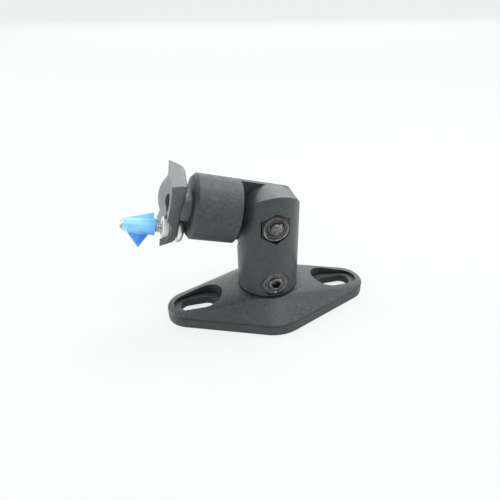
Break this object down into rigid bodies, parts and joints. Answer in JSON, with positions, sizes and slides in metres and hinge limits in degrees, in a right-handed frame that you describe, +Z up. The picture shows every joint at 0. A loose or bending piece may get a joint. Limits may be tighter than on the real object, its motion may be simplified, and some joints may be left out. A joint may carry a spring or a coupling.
{
  "type": "speaker ceiling bracket",
  "caption": "Small black plastic speaker bracket: rhombic slotted base, swivelling post, half-lap elbow arm and dished saddle with a screw and blue toggle.",
  "frame": {"origin": "centre of the base plate's foot, on the post's axis", "axes": "+Z up along the post away from the mounting surface, X along the base plate's length, the arm points to -X and tilts up, the pivot bolt lies along Y"},
  "size_m": [0.1005, 0.047, 0.0672],
  "materials": {
    "black_plastic": "moulded satin black, fine grain",
    "dark_steel": "blackened steel, worn",
    "bright_steel": "bright zinc plate",
    "white_nylon": "natural nylon, slightly translucent",
    "blue_plastic": "translucent blue plastic"
  },
  "bodies": {
    "base_body": {"base_plate": "black_plastic"},
    "post_body": {"post": "black_plastic", "pivot_nut": "dark_steel", "pivot_bolt": "dark_steel", "lock_nut": "dark_steel", "set_screw": "dark_steel"},
    "arm_body": {"arm": "black_plastic", "saddle_screw": "dark_steel", "saddle_washer": "dark_steel"},
    "saddle_body": {"saddle_plate": "black_plastic", "nylon_bush": "white_nylon"},
    "screw_body": {"speaker_screw": "bright_steel"},
    "toggle_body": {"toggle": "blue_plastic"}
  },
  "joints": [
    {"name": "post_swivel", "type": "hinge", "parent": "base_body", "child": "post_body", "pos_m": [0, 0, 0.0173], "axis": [0, 0, 1], "continuous": true},
    {"name": "elbow", "type": "hinge", "parent": "post_body", "child": "arm_body", "pos_m": [0, 0, 0.04245], "axis": [0, 1, 0], "range_deg": [-15.45, 164.55]},
    {"name": "saddle_roll", "type": "hinge", "parent": "arm_body", "child": "saddle_body", "pos_m": [0, 0, 0.04245], "axis": [-0.9639, 0, 0.2664], "continuous": true},
    {"name": "screw_turn", "type": "hinge", "parent": "saddle_body", "child": "screw_body", "pos_m": [-0.00298, 0.00116, 0.03167], "axis": [-0.9639, 0, 0.2664], "range_deg": [-180, 1800]},
    {"name": "toggle_travel", "type": "slide", "parent": "saddle_body", "child": "toggle_body", "axis": [-0.9639, 0, 0.2664], "range_m": [-0.0004, 0.004]}
  ],
  "couplings": [
    {"joint": "toggle_travel", "follows": "screw_turn", "m_per_rad": 0.00012732}
  ]
}
